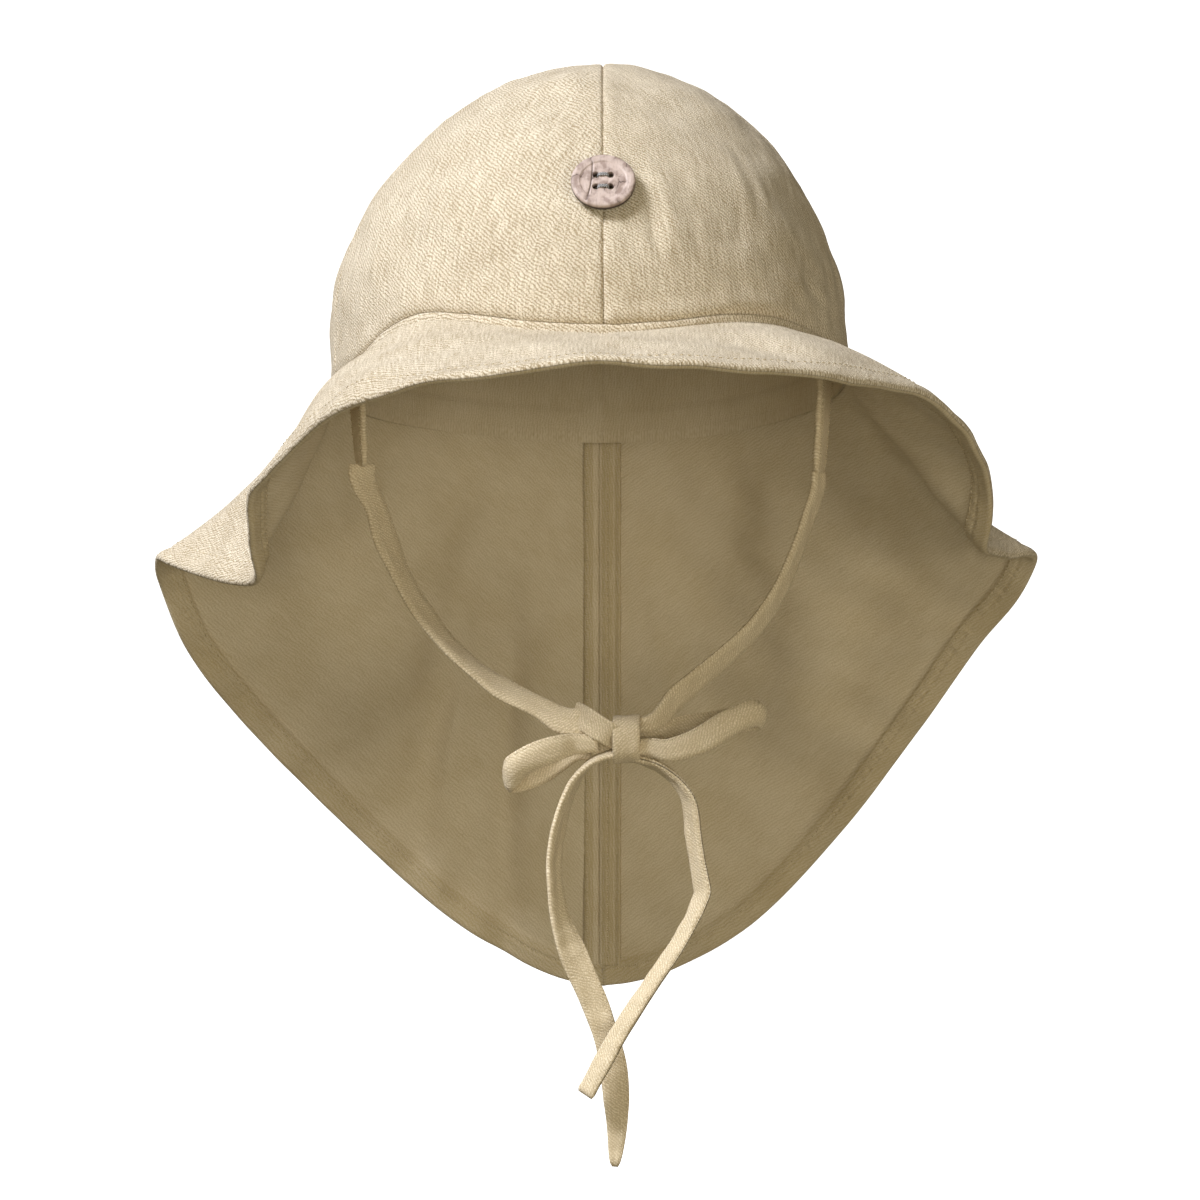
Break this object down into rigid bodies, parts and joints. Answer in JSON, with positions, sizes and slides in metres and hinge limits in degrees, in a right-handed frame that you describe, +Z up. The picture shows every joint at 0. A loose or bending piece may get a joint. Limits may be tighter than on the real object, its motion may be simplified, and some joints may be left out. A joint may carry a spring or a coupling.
{
  "type": "child's sun hat with neck flap and chin ties",
  "caption": "Soft cloth sun hat with a panelled crown, a short brim that runs into a long neck flap, chin ties in a bow and a button at the brow.",
  "frame": {"origin": "inside of the crown's apex, where the hat sits on the top of a head", "axes": "+Z up along the wearer's head, -Y towards the wearer's face, -X towards the wearer's right ear"},
  "size_m": [0.2738, 0.2331, 0.3233],
  "materials": {
    "twill_cloth": "natural undyed hemp and linen twill, matt",
    "tie_cloth": "the same twill folded and edge stitched into flat ties, matt",
    "button_shell": "weathered grey brown shell or wood, turned and engraved, half matt",
    "sewing_thread": "grey cotton thread"
  },
  "bodies": {
    "root": {"crown_front_right": "twill_cloth", "crown_front_left": "twill_cloth", "crown_back_right": "twill_cloth", "crown_back_left": "twill_cloth", "brim_and_flap": "twill_cloth", "back_seam": "twill_cloth", "ear_tab_right": "tie_cloth", "ear_tab_left": "tie_cloth", "tie_right": "tie_cloth", "tie_left": "tie_cloth", "bow_knot": "tie_cloth", "bow_loop_right": "tie_cloth", "bow_loop_left": "tie_cloth", "tie_tail_right": "tie_cloth", "tie_tail_left": "tie_cloth", "button": "button_shell", "button_thread": "sewing_thread"}
  },
  "joints": []
}
